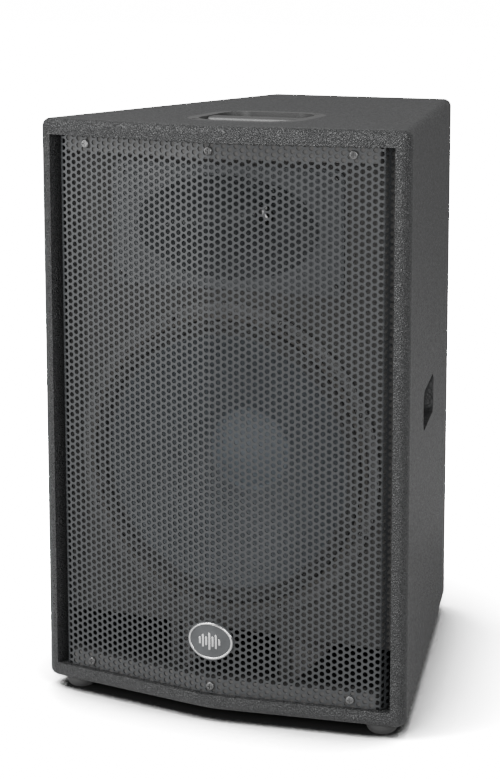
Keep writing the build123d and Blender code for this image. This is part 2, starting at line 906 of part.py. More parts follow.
def connector_places():
    """Two twist-lock sockets above two jacks, from the dish's middle."""
    return [(side * socket_spacing / 1.2, height) for height in (socket_height, jack_height) for side in (-1, 1)]


def twist_lock_sockets():
    """Panel sockets with a ring-shaped well around a core."""
    sockets = []
    front = 2.5
    for x, z in connector_places()[:2]:
        core = Circle(socket_radius) - (Circle(socket_radius - 1.8) - Circle(6.0))
        well = extrude(core, 16)
        back = Pos(0, 0, -6) * extrude(Circle(socket_radius), 6)
        plate = RectangleRounded(27, 30, 3) - Circle(socket_radius)
        rim = Pos(0, 0, 16 - front) * extrude(plate, front)
        socket = Pos(0, 0, front - 16) * (well + back + rim)
        place = upright((x, dish_floor(), underside + dish_place + z), (0, 1, 0))
        sockets.append(place * socket)
    return group(sockets)


def jack_sockets():
    """Quarter-inch jacks: barrel, nut and inner body, with a blind bore."""
    jacks = []
    for x, z in connector_places()[2:]:
        nut = Pos(0, 0, 0) * extrude(RegularPolygon(7.0, 6), 2.5)
        barrel = Pos(0, 0, -8) * extrude(Circle(jack_barrel), 12)
        body = Pos(0, 0, -dish_wall - 12) * Box(15, 17, 24)
        bore = Pos(0, 0, 4 - jack_length) * extrude(Circle(jack_bore), jack_length + 1)
        place = upright((x, dish_floor(), underside + dish_place + z), (0, 1, 0))
        jacks.append(place * (nut + barrel + body - bore))
    return group(jacks)


def board_screws(piece):
    """Copies of a screw at the crossover board's corners, from its front."""
    x = board_width / 2 - 6
    z = board_tall / 2 - 6
    y = back_inside - standoff_length - board_sheet
    middle = underside + board_place
    places = [(sx * x, middle + sz * z) for sx in (-1, 1) for sz in (-1, 1)]
    return group([facing((px, y, pz), (0, -1, 0)) * piece for px, pz in places])


def crossover_board():
    y = back_inside - standoff_length - board_sheet
    middle = underside + board_place
    low = (-board_width / 2, y, middle - board_tall / 2)
    high = (board_width / 2, y + board_sheet, middle + board_tall / 2)
    return block(low, high) - board_screws(screw_hole(1.5, 20.0))


def crossover_standoffs():
    post = Pos(0, 0, -board_sheet - standoff_length) * extrude(Circle(3.5) - Circle(1.6), standoff_length)
    return board_screws(post)


def on_board(x, z, piece):
    """A component standing on the crossover board's front."""
    y = back_inside - standoff_length - board_sheet
    return upright((x, y, underside + board_place + z), (0, -1, 0)) * piece


def crossover_inductors():
    coil, small = [extrude(Circle(outer) - Circle(bore), tall) for outer, bore, tall in inductor_sizes]
    return group([on_board(-42, 26, coil), on_board(34, 34, small)])


def crossover_capacitors():
    can = Pos(0, 0, capacitor_radius) * Rot(0, 90, 0) * Cylinder(capacitor_radius, capacitor_length)
    return group([on_board(x, z, can) for x, z in ((30, -6), (30, -28), (-36, -26))])


def crossover_resistors():
    bar = Pos(0, 0, resistor_side / 2) * Box(resistor_length, resistor_side, resistor_side)
    return group([on_board(x, z, bar) for x, z in ((30, 12), (-36, -6))])


def lead(points, radius):
    """A two-core lead inside the cabinet: straight runs joined by arcs."""
    bends = FilletPolyline(*points, radius=lead_bend)
    start = Plane(origin=bends @ 0, z_dir=bends % 0)
    return sweep(start * Circle(radius), path=bends)


def woofer_lead():
    y = back_inside - standoff_length - board_sheet
    end_y = baffle_setback + basket_depth + 8
    end_z = woofer_z + top_plate_radius + 10
    z = underside + board_place - 45
    points = [(-58, y, z), (-58, y - 70, z), (-40, end_y + 100, end_z), (0, end_y, end_z)]
    return lead(points, woofer_lead_radius)


def driver_lead():
    y = back_inside - standoff_length - board_sheet
    end_y = baffle_setback + throat_depth + 2 * driver_plate + driver_magnet_thickness + cover_depth + 1
    z = underside + board_place + 40
    points = [(68, y, z), (68, y - 80, z), (40, y - 110, horn_z), (20, end_y, horn_z)]
    return lead(points, driver_lead_radius)


def pole_socket_bore(radius, length):
    return Pos(0, pole_place, underside - 1) * extrude(Circle(radius), length)


def pole_screws(piece):
    """Copies of a screw on the pole socket's flange, from below."""
    radius = pole_flange - 12
    angles = [radians(45 + 90 * i) for i in range(4)]
    points = [(radius * cos(a), pole_place + radius * sin(a), underside - 2) for a in angles]
    return group([facing(point, (0, 0, -1)) * piece for point in points])


def pole_socket():
    """A pressed cup for a 35 mm stand pole, open downwards."""
    bottom = underside - 2
    outer = pole_bore + pole_wall
    outline = [
        (pole_bore, bottom),
        (pole_flange, bottom),
        (pole_flange, underside),
        (outer, underside),
        (outer, bottom + pole_depth + pole_wall),
        (0, bottom + pole_depth + pole_wall),
        (0, bottom + pole_depth),
        (pole_bore, bottom + pole_depth),
    ]
    return lathe_z(outline, (0, pole_place, 0)) - pole_screws(screw_hole(2.2, 15.0))


def foot_places(piece):
    """Copies of a piece under the four feet, at the cabinet's underside."""
    back_y = cabinet_depth - back_foot_inset
    places = [(sx * front_foot_x, front_foot_y) for sx in (-1, 1)]
    places += [(sx * back_foot_x, back_y) for sx in (-1, 1)]
    return group([Pos(x, y, underside) * piece for x, y in places])


def rubber_foot():
    """A domed foot hanging from Z = 0, with a recess for its screw."""
    dome = ThreePointArc((foot_flat, -foot_height), (foot_radius - 1.2, -foot_height * 0.72), (foot_radius, -2.5))
    lines = Polyline((foot_radius, -2.5), (foot_radius, 0), (0, 0), (0, -foot_height), (foot_flat, -foot_height))
    solid = revolve(Plane.XZ * make_face(dome + lines), Axis.Z)
    recess = Pos(0, 0, -foot_height) * extrude(Circle(6), foot_height - 4)
    return solid - recess - Rot(180, 0, 0) * screw_hole(2.2, 14.0)


def foot_screw():
    return Pos(0, 0, -4) * Rot(180, 0, 0) * headed_screw(5.0, 3.0, 2.2, 18.0)


def side_lining():
    """A pad of wadding on the right side, behind the horn."""
    near = port_end - 10
    far = back_inside - 50
    corners = [
        (inner_x(near), near),
        (inner_x(far), far),
        (inner_x(far) - lining_thickness, far),
        (inner_x(near) - lining_thickness, near),
    ]
    return prism(corners, underside + side_lining_low, underside + lining_high)


def back_lining():
    low = (-inner_x(back_inside) + 12, back_inside - lining_thickness, underside + back_lining_low)
    high = (inner_x(back_inside) - 12, back_inside, underside + lining_high)
    return block(low, high)


def left_of(piece):
    return mirror(piece, about=Plane.YZ)


def build_nodes():
    """Every separate piece by name."""
    side = side_panel()
    cup = side_cup()
    small_screw = headed_screw(*handle_screw)
    cup_screws = side_cup_screws(small_screw)
    lining = side_lining()
    nodes = {
        "top_panel": top_panel(),
        "bottom_panel": bottom_panel(),
        "right_side_panel": side,
        "left_side_panel": left_of(side),
        "back_panel": back_panel(),
        "front_baffle": front_baffle(),
        "port_shelf": port_shelf(),
        "port_dividers": group([port_divider(side) for side in (-1, 1)]),
        "grille_rails": group([grille_rail(low) for low in (inner_floor, inner_ceiling - rail_height)]),
        "cross_brace": cross_brace(),
        "grille": grille(),
        "grille_screws": grille_screw_places(headed_screw(*grille_screw)),
        "badge_plate": badge_plate(),
        "badge_ring": badge_ring(),
        "woofer_basket": woofer_basket(),
        "woofer_gasket": woofer_gasket(),
        "woofer_surround": woofer_surround(),
        "woofer_cone": woofer_cone(),
        "woofer_dust_cap": dust_cap(),
        "voice_coil_former": voice_coil_former(),
        "voice_coil": voice_coil(),
        "spider": spider(),
        "spider_seat": spider_seat(),
        "woofer_top_plate": woofer_top_plate(),
        "woofer_magnet": woofer_magnet(),
        "woofer_pole": woofer_pole(),
        "woofer_terminals": woofer_terminals(),
        "woofer_bolts": woofer_bolt_places(headed_screw(*woofer_bolt)),
        "woofer_tee_nuts": tee_nuts(),
        "horn": horn(),
        "horn_screws": horn_screw_places(headed_screw(*horn_screw)),
        "driver_body": driver_body(),
        "driver_phase_plug": phase_plug(),
        "driver_magnet": driver_magnet(),
        "driver_rear_plate": driver_rear_plate(),
        "driver_diaphragm": driver_diaphragm(),
        "driver_suspension": driver_suspension(),
        "driver_clamp_ring": clamp_ring(),
        "driver_cover": driver_cover(),
        "driver_bolts": driver_bolt_places(headed_screw(*driver_bolt)),
        "terminal_dish": terminal_dish(),
        "terminal_screws": dish_screws(headed_screw(*dish_screw)),
        "twist_lock_sockets": twist_lock_sockets(),
        "jack_sockets": jack_sockets(),
        "crossover_board": crossover_board(),
        "crossover_standoffs": crossover_standoffs(),
        "crossover_screws": board_screws(headed_screw(*board_screw)),
        "crossover_inductors": crossover_inductors(),
        "crossover_capacitors": crossover_capacitors(),
        "crossover_resistors": crossover_resistors(),
        "internal_leads": group([woofer_lead(), driver_lead()]),
        "top_handle": top_handle(),
        "side_handle_cups": group([cup, left_of(cup)]),
        "handle_screws": group([cup_screws, left_of(cup_screws), top_handle_screws(small_screw)]),
        "pole_socket": pole_socket(),
        "pole_socket_screws": pole_screws(headed_screw(*pole_screw)),
        "rubber_feet": foot_places(rubber_foot()),
        "foot_screws": foot_places(foot_screw()),
        "back_lining": back_lining(),
        "side_lining": group([lining, left_of(lining)]),
    }
    return nodes


def main():
    os.makedirs("parts", exist_ok=True)
    for name, piece in build_nodes().items():
        export_step(Pos(0, -middle_y, 0) * piece, f"parts/{name}.step")


main()
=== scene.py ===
import json
import math

import bpy
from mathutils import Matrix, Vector


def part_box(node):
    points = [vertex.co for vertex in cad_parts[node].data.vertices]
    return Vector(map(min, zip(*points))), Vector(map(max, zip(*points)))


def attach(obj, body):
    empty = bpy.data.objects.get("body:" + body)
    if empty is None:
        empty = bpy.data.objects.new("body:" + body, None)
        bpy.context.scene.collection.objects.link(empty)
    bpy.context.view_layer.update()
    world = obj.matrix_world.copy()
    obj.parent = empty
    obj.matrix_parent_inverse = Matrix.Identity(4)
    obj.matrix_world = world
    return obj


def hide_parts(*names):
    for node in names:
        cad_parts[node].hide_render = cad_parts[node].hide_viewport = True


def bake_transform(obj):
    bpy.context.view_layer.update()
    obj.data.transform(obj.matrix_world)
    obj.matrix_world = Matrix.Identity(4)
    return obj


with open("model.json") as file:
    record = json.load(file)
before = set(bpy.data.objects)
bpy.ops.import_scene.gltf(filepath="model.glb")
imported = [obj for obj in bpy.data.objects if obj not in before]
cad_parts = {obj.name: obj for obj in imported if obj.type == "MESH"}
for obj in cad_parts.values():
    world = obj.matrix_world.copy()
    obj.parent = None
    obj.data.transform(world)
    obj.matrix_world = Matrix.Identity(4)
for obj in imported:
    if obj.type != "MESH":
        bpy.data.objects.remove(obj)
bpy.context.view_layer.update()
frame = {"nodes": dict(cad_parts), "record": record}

nodes = frame["nodes"]
record = frame["record"]
cabinet = "cabinet"
conePart = "woofer_moving_parts"
mm = 0.001


# ---- shader maths ----

class Sock:
    # wraps one output socket, so that sums and products on it add Math nodes
    def __init__(self, finish, out):
        self.finish = finish
        self.out = out

    def calc(self, operation, first, second):
        return self.finish.node("ShaderNodeMath", {"operation": operation}, {0: first, 1: second})

    def __add__(self, other):
        return self.calc("ADD", self, other)

    def __radd__(self, other):
        return self.calc("ADD", other, self)

    def __sub__(self, other):
        return self.calc("SUBTRACT", self, other)

    def __rsub__(self, other):
        return self.calc("SUBTRACT", other, self)

    def __mul__(self, other):
        return self.calc("MULTIPLY", self, other)

    def __rmul__(self, other):
        return self.calc("MULTIPLY", other, self)

    def __pow__(self, other):
        return self.calc("POWER", self, other)


class Finish:
    # one material and its node tree
    def __init__(self, name):
        self.material = bpy.data.materials.new(name)
        self.material.use_nodes = True
        self.tree = self.material.node_tree
        self.tree.nodes.clear()
        self.place = self.node("ShaderNodeTexCoord", out="Object")

    def node(self, kind, settings=None, sockets=None, out=0):
        made = self.tree.nodes.new(kind)
        for key, value in (settings or {}).items():
            if key == "stops":
                ramp = made.color_ramp.elements
                while len(ramp) < len(value):
                    ramp.new(0.5)
                for stop, (spot, colour) in zip(ramp, value):
                    stop.position = spot
                    stop.color = colour
            else:
                setattr(made, key, value)
        for key, value in (sockets or {}).items():
            if isinstance(value, Sock):
                self.tree.links.new(value.out, made.inputs[key])
            else:
                made.inputs[key].default_value = value
        return None if out is None else Sock(self, made.outputs[out])

    def axis(self, name):
        return self.node("ShaderNodeSeparateXYZ", None, {0: self.place}, name)

    def calcAbs(self, value):
        return value.calc("ABSOLUTE", value, 0.0)

    def noise(self, scale, detail=2.0, roughness=0.5, where=None):
        spots = {"Vector": where or self.place, "Scale": scale, "Detail": detail, "Roughness": roughness}
        return self.node("ShaderNodeTexNoise", None, spots)

    def cells(self, scale, feature="F1", where=None):
        spots = {"Vector": where or self.place, "Scale": scale}
        return self.node("ShaderNodeTexVoronoi", {"feature": feature}, spots)

    def ramp(self, value, low, high, first=0.0, last=1.0):
        # straight line from first at low to last at high, held flat outside
        spots = {0: value, 1: low, 2: high, 3: first, 4: last}
        return self.node("ShaderNodeMapRange", {"clamp": True}, spots)

    def blend(self, mask, first, second):
        # colour mix: 6 and 7 are the two colour sockets, 2 the colour output
        return self.node("ShaderNodeMix", {"data_type": "RGBA"}, {0: mask, 6: first, 7: second}, out=2)

    def bump(self, height, distance, strength=1.0, under=None):
        spots = {"Height": height, "Distance": distance, "Strength": strength}
        if under:
            spots["Normal"] = under
        return self.node("ShaderNodeBump", None, spots)

    def finish(self, colour, roughness, metallic=0.0, normal=None, **plain):
        spots = {"Base Color": colour, "Roughness": roughness, "Metallic": metallic}
        if normal:
            spots["Normal"] = normal
        for key, value in plain.items():
            spots[key.replace("_", " ")] = value
        shader = self.node("ShaderNodeBsdfPrincipled", None, spots)
        self.node("ShaderNodeOutputMaterial", None, {"Surface": shader}, out=None)
        return self.material


def grey(value, tint=0.0):
    return (value * (1 - tint), value, value * (1 + tint), 1)


# ---- materials ----

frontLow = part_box("bottom_panel")[0]
boxPaint = {
    "dark": 0.010,
    "light": 0.024,
    "bead": 300,
    "height": 0.0009,
    "bow": 32 / 238,
    "ridge": frontLow.y - 0.0013,
    "rimEnd": 0.022,
}


def makeBoxPaint():
    # sprayed bead paint: rounded droplets of uneven size over a fine skin
    f = Finish("texturedPaint")
    across = f.axis("X")
    bowed = f.calcAbs(across) * boxPaint["bow"] + boxPaint["ridge"]
    rim = f.ramp(f.axis("Y") - bowed, boxPaint["rimEnd"] * 0.4, boxPaint["rimEnd"], 1.0, 0.0)
    beads = f.cells(boxPaint["bead"], "SMOOTH_F1")
    drops = f.noise(boxPaint["bead"] * 1.7, 2.0, 0.6)
    domes = f.ramp(beads, 0.15, 0.75, 1.0, 0.0)
    skin = domes * 0.55 + f.ramp(drops, 0.35, 0.65) * 0.45
    coarse = f.ramp(f.noise(boxPaint["bead"] * 1.9, 1.0, 0.4), 0.42, 0.66)
    patches = f.noise(7, 4.0)
    tone = skin * 0.75 + patches * 0.25
    colour = f.blend(tone, grey(boxPaint["dark"], 0.03), grey(boxPaint["light"], 0.03))
    gloss = f.ramp(skin, 0.25, 0.85, 0.58, 0.4) - rim * 0.08 - rim * coarse * 0.18
    low = f.bump(skin, boxPaint["height"])
    return f.finish(colour, gloss, 0.0, f.bump(coarse * rim, boxPaint["height"] * 1.3, 1.0, low))


def makeSheetPaint():
    f = Finish("grillePaint")
    dust = f.noise(1500, 2.0)
    patches = f.noise(14, 2.0)
    colour = f.blend(patches, grey(0.021, 0.06), grey(0.030, 0.06))
    return f.finish(colour, f.ramp(patches, 0.3, 0.7, 0.42, 0.52), 0.0, f.bump(dust, 0.00005))


darkWood = {"stainEnd": 0.067, "paintedLightFrom": 0.085}


def makeDarkWood():
    # stained on the baffle's front; the walls behind it are painted pale grey, painted light that lifts the
    # dark of what shows through the port
    f = Finish("stainedPlyPaintedLight")
    spread = f.node("ShaderNodeMapping", None, {"Vector": f.place, "Scale": (6, 6, 60)})
    grain = f.noise(7, 5.0, 0.6, spread)
    # mask: 0 on the stained baffle front, 1 on the walls behind it, where the painted light goes
    paintedLightDepth = f.ramp(f.axis("Y"), frontLow.y + darkWood["stainEnd"], frontLow.y + darkWood["paintedLightFrom"])
    near = f.blend(grain, grey(0.042, -0.02), grey(0.068, -0.02))
    # the pale grey behind the baffle is painted light, so the port and inner walls read less dark
    colour = f.blend(paintedLightDepth, near, f.blend(grain, grey(0.5, -0.02), grey(0.62, -0.02)))
    return f.finish(colour, f.ramp(grain, 0.3, 0.7, 0.7, 0.85), 0.0, f.bump(grain, 0.0002))


def makeCloth(name, low, high, rib, rough=0.9):
    f = Finish(name)
    weave = f.cells(rib) + f.noise(rib * 0.4, 3.0)
    colour = f.blend(f.ramp(weave, 0.5, 1.4), low, high)
    return f.finish(colour, rough, 0.0, f.bump(weave, 0.0002))


def makePaper():
    # the dust cap in the middle of the cone is painted lighter and bluer, a painted reflection
    f = Finish("conePaperPaintedCapSheen")
    low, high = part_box("woofer_dust_cap")
    up = f.axis("Z") - (low.z + high.z) / 2
    across = f.axis("X")
    reach = (across * across + up * up) ** 0.5
    edge = (high.x - low.x) / 2
    paintedCapSheen = f.ramp(reach, edge - 0.0012, edge + 0.0004, 1.0, 0.0)
    fibre = f.noise(520, 6.0, 0.7)
    patches = f.noise(22, 3.0)
    mixed = fibre * 0.6 + patches * 0.4
    dark = f.blend(f.ramp(mixed, 0.35, 0.65), grey(0.06, 0.10), grey(0.095, 0.10))
    # the lighter, bluer cap colour is a painted reflection on the dust cap
    colour = f.blend(paintedCapSheen, dark, f.blend(patches, grey(0.11, 0.13), grey(0.145, 0.13)))
    return f.finish(colour, f.ramp(fibre, 0.3, 0.7, 0.5, 0.66), 0.0, f.bump(fibre, 0.00012))


def makePlastic(name, low, high, rough, grain=900, height=0.00006):
    f = Finish(name)
    skin = f.noise(grain, 3.0, 0.6)
    patches = f.noise(18, 2.0)
    colour = f.blend(skin * 0.5 + patches * 0.5, low, high)
    return f.finish(colour, f.ramp(skin, 0.3, 0.7, rough - 0.06, rough + 0.08), 0.0, f.bump(skin, height))


def makeMetal(name, low, high, rough, metallic=1.0, grain=700):
    f = Finish(name)
    skin = f.noise(grain, 4.0, 0.6)
    wear = f.noise(30, 4.0, 0.65)
    colour = f.blend(f.ramp(wear, 0.35, 0.65), low, high)
    return f.finish(colour, f.ramp(wear, 0.3, 0.7, rough, rough + 0.12), metallic, f.bump(skin, 0.00003))


def makeWinding():
    f = Finish("copperWire")
    spots = {"Vector": f.place, "Scale": 160, "Distortion": 0.4}
    turns = f.node("ShaderNodeTexWave", {"bands_direction": "Y"}, spots)
    colour = f.blend(turns, (0.20, 0.07, 0.03, 1), (0.62, 0.27, 0.12, 1))
    return f.finish(colour, f.ramp(turns, 0, 1, 0.5, 0.3), 1.0, f.bump(turns, 0.0003))


slotPaints = {
    "painted_wood": makeBoxPaint(),
    "bare_wood": makeDarkWood(),
    "grille_paint": makeSheetPaint(),
    "black_screw": makeMetal("blackZinc", grey(0.07), grey(0.16), 0.3, 0.8),
    "badge_face": makeMetal("badgePaint", grey(0.05, 0.04), grey(0.075, 0.04), 0.35, 0.3),
    "badge_metal": makeMetal("badgeBright", grey(0.62), grey(0.78), 0.18),
    "basket_paint": makePlastic("basketPaint", grey(0.07), grey(0.095), 0.45),
    "gasket": makePlastic("gasketBoard", grey(0.05, -0.05), grey(0.08, -0.05), 0.8, 500, 0.0002),
    "cone_paper": makePaper(),
    "surround_cloth": makeCloth("surroundCloth", grey(0.03), grey(0.055), 900, 0.62),
    "former": makeMetal("formerFoil", grey(0.5), grey(0.65), 0.3),
    "copper": makeWinding(),
    "spider_cloth": makeCloth("spiderCloth", (0.32, 0.19, 0.06, 1), (0.5, 0.33, 0.13, 1), 700),
    "plated_steel": makeMetal("platedSteel", grey(0.42, 0.02), grey(0.6, 0.02), 0.28),
    "ferrite": makePlastic("ferrite", grey(0.03), grey(0.055), 0.6, 300, 0.0002),
    "horn_plastic": makePlastic("hornPlastic", grey(0.075, 0.05), grey(0.1, 0.05), 0.2),
    "black_plastic": makePlastic("blackPlastic", grey(0.025), grey(0.045), 0.45, 700, 0.0001),
    "circuit_board": makePlastic("solderMask", (0.01, 0.07, 0.03, 1), (0.02, 0.12, 0.05, 1), 0.3),
    "capacitor_film": makePlastic("capacitorFilm", (0.35, 0.2, 0.02, 1), (0.5, 0.3, 0.04, 1), 0.3),
    "ceramic": makePlastic("ceramic", grey(0.6, -0.03), grey(0.75, -0.03), 0.6),
    "lead_rubber": makePlastic("leadRubber", grey(0.02), grey(0.035), 0.55),
    "wadding": makeCloth("wadding", grey(0.5), grey(0.72), 260, 0.95),
    "foot_rubber": makePlastic("footRubber", grey(0.02), grey(0.038), 0.62, 600, 0.00015),
    "pole_steel": makeMetal("poleSteel", grey(0.02), grey(0.04), 0.4, 0.2),
}


def paintFrame():
    for part in record["subparts"]:
        paint = slotPaints[part["material_slot"]]
        for spot in nodes[part["node"]].material_slots:
            spot.material = paint
    print("frame painted")


# ---- mesh helpers ----

def deselect():
    if bpy.context.mode != "OBJECT":
        bpy.ops.object.mode_set(mode="OBJECT")
    bpy.ops.object.select_all(action="DESELECT")


def edit(piece, mode="EDGE"):
    deselect()
    piece.select_set(True)
    bpy.context.view_layer.objects.active = piece
    bpy.ops.object.mode_set(mode="EDIT")
    bpy.ops.mesh.select_mode(type=mode)


def leave():
    bpy.ops.object.mode_set(mode="OBJECT")


def settle(piece):
    # place, turn and scale go into the mesh
    deselect()
    piece.select_set(True)
    bpy.context.view_layer.objects.active = piece
    bpy.ops.object.transform_apply(location=True, rotation=True, scale=True)


def modify(piece, kind, **settings):
    deselect()
    piece.select_set(True)
    bpy.context.view_layer.objects.active = piece
    made = piece.modifiers.new(kind.lower(), kind)
    for key, value in settings.items():
        setattr(made, key, value)
    bpy.ops.object.modifier_apply(modifier=made.name)


def outward(piece):
    edit(piece)
    bpy.ops.mesh.select_all(action="SELECT")
    bpy.ops.mesh.normals_make_consistent(inside=False)
    leave()


def smooth(piece, angle=35):
    deselect()
    piece.select_set(True)
    bpy.context.view_layer.objects.active = piece
    bpy.ops.object.shade_smooth_by_angle(angle=math.radians(angle))


def finishPiece(piece, name, slot, body, *stands):
    piece.name = name
    piece.data.name = name
    piece.data.materials.clear()
    piece.data.materials.append(slotPaints[slot])
    if body:
        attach(piece, body)
    if stands:
        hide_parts(*stands)
    return piece


def ringStack(sides, centre, rings):
    # rings along Y: (half width, half height, depth behind centre); each is extruded from the last
    wide, tall, depth = rings[0]
    bpy.ops.object.select_all(action="DESELECT")
    upright = (math.pi / 2, 0, 0)
    bpy.ops.mesh.primitive_circle_add(vertices=sides, radius=1, location=(0, 0, 0), rotation=upright)
    piece = bpy.context.object
    piece.scale = (wide, tall, 1)
    piece.location = Vector(centre) + Vector((0, depth, 0))
    settle(piece)
    edit(piece)
    bpy.ops.mesh.select_all(action="SELECT")
    for newWide, newTall, newDepth in rings[1:]:
        bpy.ops.mesh.extrude_edges_move()
        pivot = (centre[0], centre[1] + depth, centre[2])
        bpy.ops.transform.resize(value=(newWide / wide, 1, newTall / tall), center_override=pivot)
        bpy.ops.transform.translate(value=(0, newDepth - depth, 0))
        wide, tall, depth = newWide, newTall, newDepth
    leave()
    return piece


# ---- grille ----

grille = {
    "pitch": 8.27 * mm,
    "column": 7.42 * mm,
    "hole": 3.05 * mm,
    "sheet": 1.5 * mm,
    "ridgeRadius": 144 * mm,
    "slope": math.atan2(32, 238),
    "bendAt": 205 * mm,
    "bendRadius": 4 * mm,
    "turn": math.radians(57),
    "returnLength": 13 * mm,
}


def grilleSpot(run, apex):
    # where a distance along the bent sheet lies in plan
    g = grille
    arc = g["ridgeRadius"] * g["slope"]
    x = g["ridgeRadius"] * math.sin(min(run, arc) / g["ridgeRadius"])
    y = apex + g["ridgeRadius"] * (1 - math.cos(min(run, arc) / g["ridgeRadius"]))
    if run <= arc:
        return x, y
    trim = g["bendRadius"] * math.tan((g["turn"] - g["slope"]) / 2)
    flat = (g["bendAt"] - x) / math.cos(g["slope"]) - trim
    step = min(run - arc, flat)
    x += step * math.cos(g["slope"])
    y += step * math.sin(g["slope"])
    rest = run - arc - flat
    if rest <= 0:
        return x, y
    turned = min(rest / g["bendRadius"], g["turn"] - g["slope"])
    angle = g["slope"] + turned
    x += g["bendRadius"] * (math.sin(angle) - math.sin(g["slope"]))
    y += g["bendRadius"] * (math.cos(g["slope"]) - math.cos(angle))
    rest -= g["bendRadius"] * turned
    return x + max(rest, 0) * math.cos(angle), y + max(rest, 0) * math.sin(angle)


def grilleRun():
    g = grille
    arc = g["ridgeRadius"] * g["slope"]
    flat = (g["bendAt"] - g["ridgeRadius"] * math.sin(g["slope"])) / math.cos(g["slope"])
    return arc + flat + g["returnLength"]


def makeHoleCell():
    # a round hole of twelve sides in a hexagonal cell
    deselect()
    bpy.ops.mesh.primitive_circle_add(vertices=12, radius=grille["hole"], location=(0, 0, 0))
    cell = bpy.context.object
    edit(cell)
    bpy.ops.mesh.select_all(action="SELECT")
    bpy.ops.mesh.extrude_edges_move()
    bpy.ops.transform.resize(value=(1.3, 1.3, 1))
    leave()
    flatHalf = grille["pitch"] / 2
    for spot in cell.data.vertices:
        if spot.co.length > grille["hole"] * 1.1:
            step = round(math.degrees(math.atan2(spot.co.y, spot.co.x)) / 30)
            reach = flatHalf if step % 2 else flatHalf / math.cos(math.radians(30))
            angle = math.radians(step * 30)
            stretch = grille["column"] / (grille["pitch"] * math.cos(math.radians(30)))
            spot.co = (reach * math.cos(angle) * stretch, reach * math.sin(angle), 0)
    return cell


def makeGrilleHalf(side):
    low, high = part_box("grille")
    pitch = grille["pitch"]
    column = grille["column"]
    run = grilleRun()
    rows = int((high.z - low.z) / pitch) + 3
    pairs = int(run / column / 2) + 2
    half = makeHoleCell()
    modify(half, "ARRAY", count=2, use_relative_offset=False, use_constant_offset=True,
           constant_offset_displace=(column, pitch / 2, 0), use_merge_vertices=True, merge_threshold=0.00002)
    modify(half, "ARRAY", count=pairs, use_relative_offset=False, use_constant_offset=True,
           constant_offset_displace=(column * 2, 0, 0), use_merge_vertices=True, merge_threshold=0.00002)
    modify(half, "ARRAY", count=rows, use_relative_offset=False, use_constant_offset=True,
           constant_offset_displace=(0, pitch, 0), use_merge_vertices=True, merge_threshold=0.00002)
    half.location = (-column / 2, -pitch, 0)
    settle(half)
    edit(half)
    bpy.ops.mesh.select_all(action="SELECT")
    bpy.ops.mesh.remove_doubles(threshold=0.00002)
    for point, normal in (((0, 0, 0), (-1, 0, 0)), ((run, 0, 0), (1, 0, 0)),
                          ((0, 0, 0), (0, -1, 0)), ((0, high.z - low.z, 0), (0, 1, 0))):
        bpy.ops.mesh.select_all(action="SELECT")
        bpy.ops.mesh.bisect(plane_co=point, plane_no=normal, clear_outer=True)
    leave()
    for spot in half.data.vertices:
        x, y = grilleSpot(spot.co.x, low.y)
        spot.co = (x * side, y, low.z + spot.co.y)
    outward(half)
    if half.data.polygons[0].normal.y > 0:
        edit(half)
        bpy.ops.mesh.select_all(action="SELECT")
        bpy.ops.mesh.flip_normals()
        leave()
    modify(half, "SOLIDIFY", thickness=grille["sheet"], offset=-1.0)
    smooth(half, 30)
    name = "grilleRight" if side > 0 else "grilleLeft"
    return finishPiece(half, name, "grille_paint", cabinet, "grille")


# ---- badge ----

badge = {
    "rim": 2.4 * mm,
    "rise": 0.9 * mm,
    "barWidth": 2.6 * mm,
    "barGap": 1.6 * mm,
    "barHeights": (0.0085, 0.015, 0.0105, 0.021, 0.0125, 0.017, 0.0075),
}


def badgeDepth(x, apex):
    return grilleSpot(abs(x), apex)[1]


def makeBadgeRim():
    low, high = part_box("badge_plate")
    apex = low.y
    centre = (low + high) / 2
    wide, tall = (high.x - low.x) / 2, (high.z - low.z) / 2
    deselect()
    bpy.ops.mesh.primitive_torus_add(major_segments=96, minor_segments=12, major_radius=1, minor_radius=0.04,
                                     location=(0, 0, 0), rotation=(math.pi / 2, 0, 0))
    rim = bpy.context.object
    settle(rim)
    for spot in rim.data.vertices:
        reach = math.hypot(spot.co.x, spot.co.z)
        angle = math.atan2(spot.co.z, spot.co.x)
        across = (reach - 1) / 0.04 * badge["rim"] / 2
        x = (wide - badge["rim"] * 0.9 + across) * math.cos(angle)
        z = (tall - badge["rim"] * 0.9 + across) * math.sin(angle)
        y = badgeDepth(x, apex) + spot.co.y / 0.04 * badge["rise"]
        spot.co = (x, y, centre.z + z)
    outward(rim)
    smooth(rim, 60)
    return finishPiece(rim, "badgeRim", "badge_metal", cabinet, "badge_ring")


def makeBadgeMark():
    # seven upright bars of uneven height, like a level meter
    low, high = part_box("badge_plate")
    apex = low.y
    centre = (low + high) / 2
    step = badge["barWidth"] + badge["barGap"]
    parts = []
    for number, tall in enumerate(badge["barHeights"]):
        x = (number - (len(badge["barHeights"]) - 1) / 2) * step
        bpy.ops.object.select_all(action="DESELECT")
        bpy.ops.mesh.primitive_cube_add(size=1, location=(x, badgeDepth(x, apex) - 0.0002, centre.z))
        bar = bpy.context.object
        bar.scale = (badge["barWidth"], 0.0016, tall)
        settle(bar)
        modify(bar, "BEVEL", width=0.0004, segments=2)
        parts.append(bar)
    deselect()
    for bar in parts:
        bar.select_set(True)
    bpy.context.view_layer.objects.active = parts[0]
    bpy.ops.object.join()
    smooth(parts[0], 40)
    return finishPiece(parts[0], "badgeMark", "badge_metal", cabinet)


# ---- woofer ----

woofer = {
    "ribs": 9,
    "ribHeight": 0.9 * mm,
    "ribbedShare": 0.8,
    "bulge": 0.08,
    "lap": 6 * mm,
    "neck": 38.3 * mm,
    "sides": 96,
    "wall": 1.2 * mm,
    "neckGap": 6.5 * mm,  # keeps clear of the still spider at full travel, but stops short of the former
}


